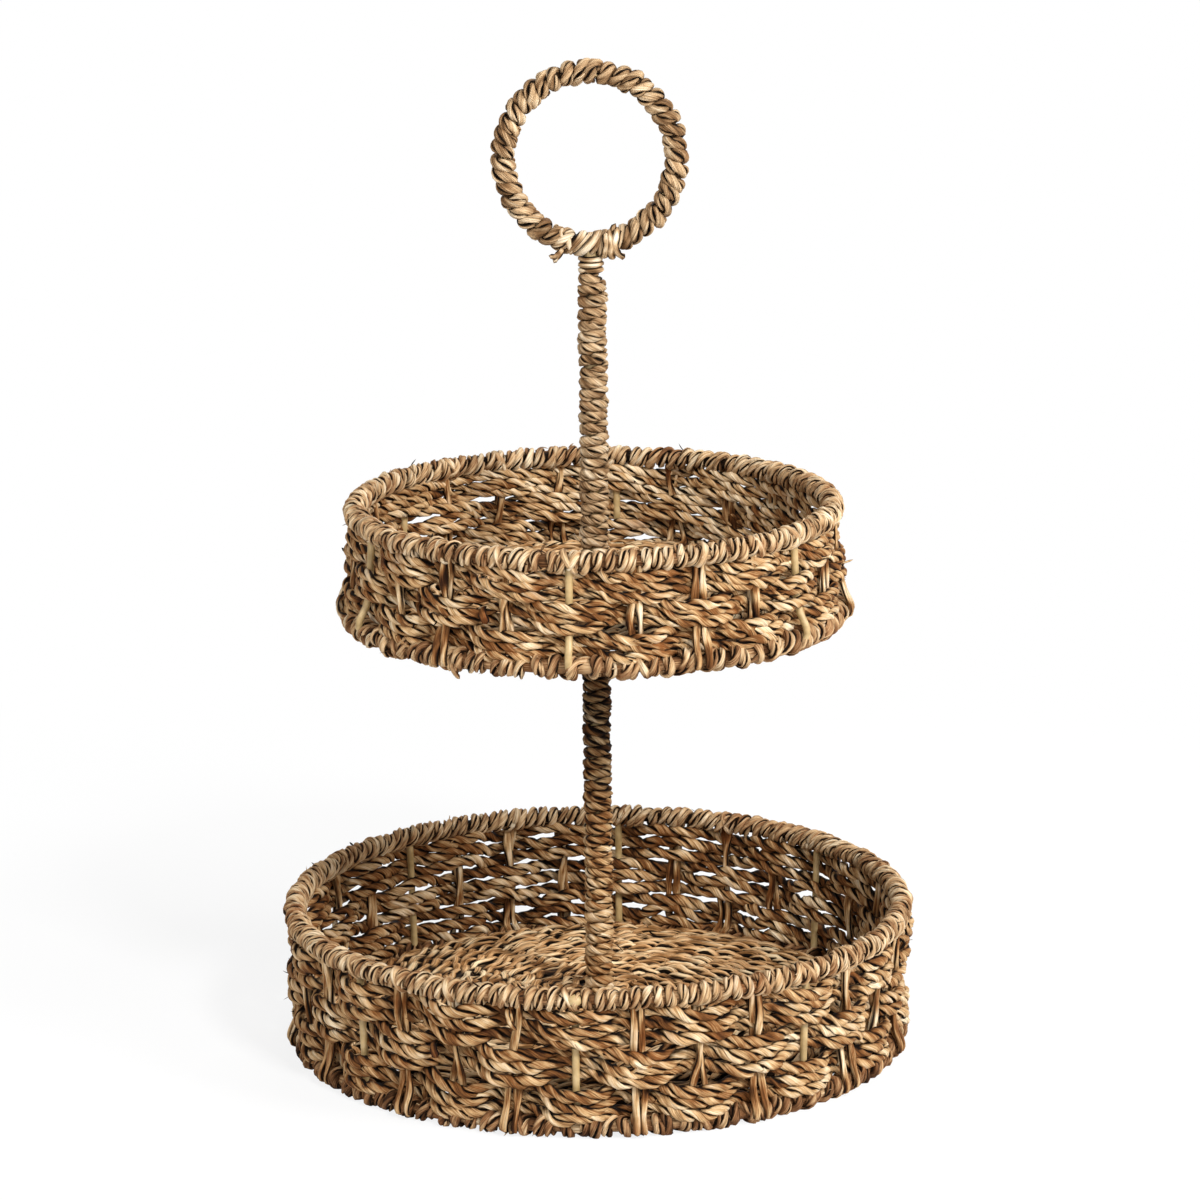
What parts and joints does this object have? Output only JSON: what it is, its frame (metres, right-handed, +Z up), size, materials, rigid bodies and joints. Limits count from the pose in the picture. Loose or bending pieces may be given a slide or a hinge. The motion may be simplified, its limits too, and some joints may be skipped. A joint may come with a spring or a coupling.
{
  "type": "two-tier tray stand",
  "caption": "Two-tier round tray stand of woven seagrass rope on a wire frame, with a wrapped centre pole and a ring handle on top.",
  "frame": {"origin": "centre of the lower base ring, on the surface that the stand rests on", "axes": "+Z up along the pole, +X to the right across the ring handle, -Y towards the front"},
  "size_m": [0.4, 0.4, 0.6281],
  "materials": {
    "seagrass": "two-ply seagrass rope and twisted seagrass strands, dry and unvarnished, matt",
    "wire": "satin tan-olive paint on steel wire"
  },
  "bodies": {
    "root": {"lower_base_wire": "wire", "lower_rim_wire": "wire", "lower_upright_1": "wire", "lower_upright_2": "wire", "lower_upright_3": "wire", "lower_upright_4": "wire", "lower_upright_5": "wire", "lower_upright_6": "wire", "lower_upright_7": "wire", "lower_upright_8": "wire", "lower_spoke_1": "wire", "lower_spoke_2": "wire", "lower_spoke_3": "wire", "lower_spoke_4": "wire", "lower_base_wrap": "seagrass", "lower_rim_wrap": "seagrass", "lower_band_bottom": "seagrass", "lower_band_middle": "seagrass", "lower_band_top": "seagrass", "lower_stakes": "seagrass", "lower_floor_mat": "seagrass", "upper_base_wire": "wire", "upper_rim_wire": "wire", "upper_upright_1": "wire", "upper_upright_2": "wire", "upper_upright_3": "wire", "upper_upright_4": "wire", "upper_upright_5": "wire", "upper_upright_6": "wire", "upper_spoke_1": "wire", "upper_spoke_2": "wire", "upper_spoke_3": "wire", "upper_base_wrap": "seagrass", "upper_rim_wrap": "seagrass", "upper_band_bottom": "seagrass", "upper_band_middle": "seagrass", "upper_band_top": "seagrass", "upper_stakes": "seagrass", "upper_floor_mat": "seagrass", "pole_rod": "wire", "pole_winding_lower": "seagrass", "pole_winding_upper": "seagrass", "handle_wire": "wire", "handle_winding": "seagrass", "junction_lashing": "seagrass"}
  },
  "joints": []
}
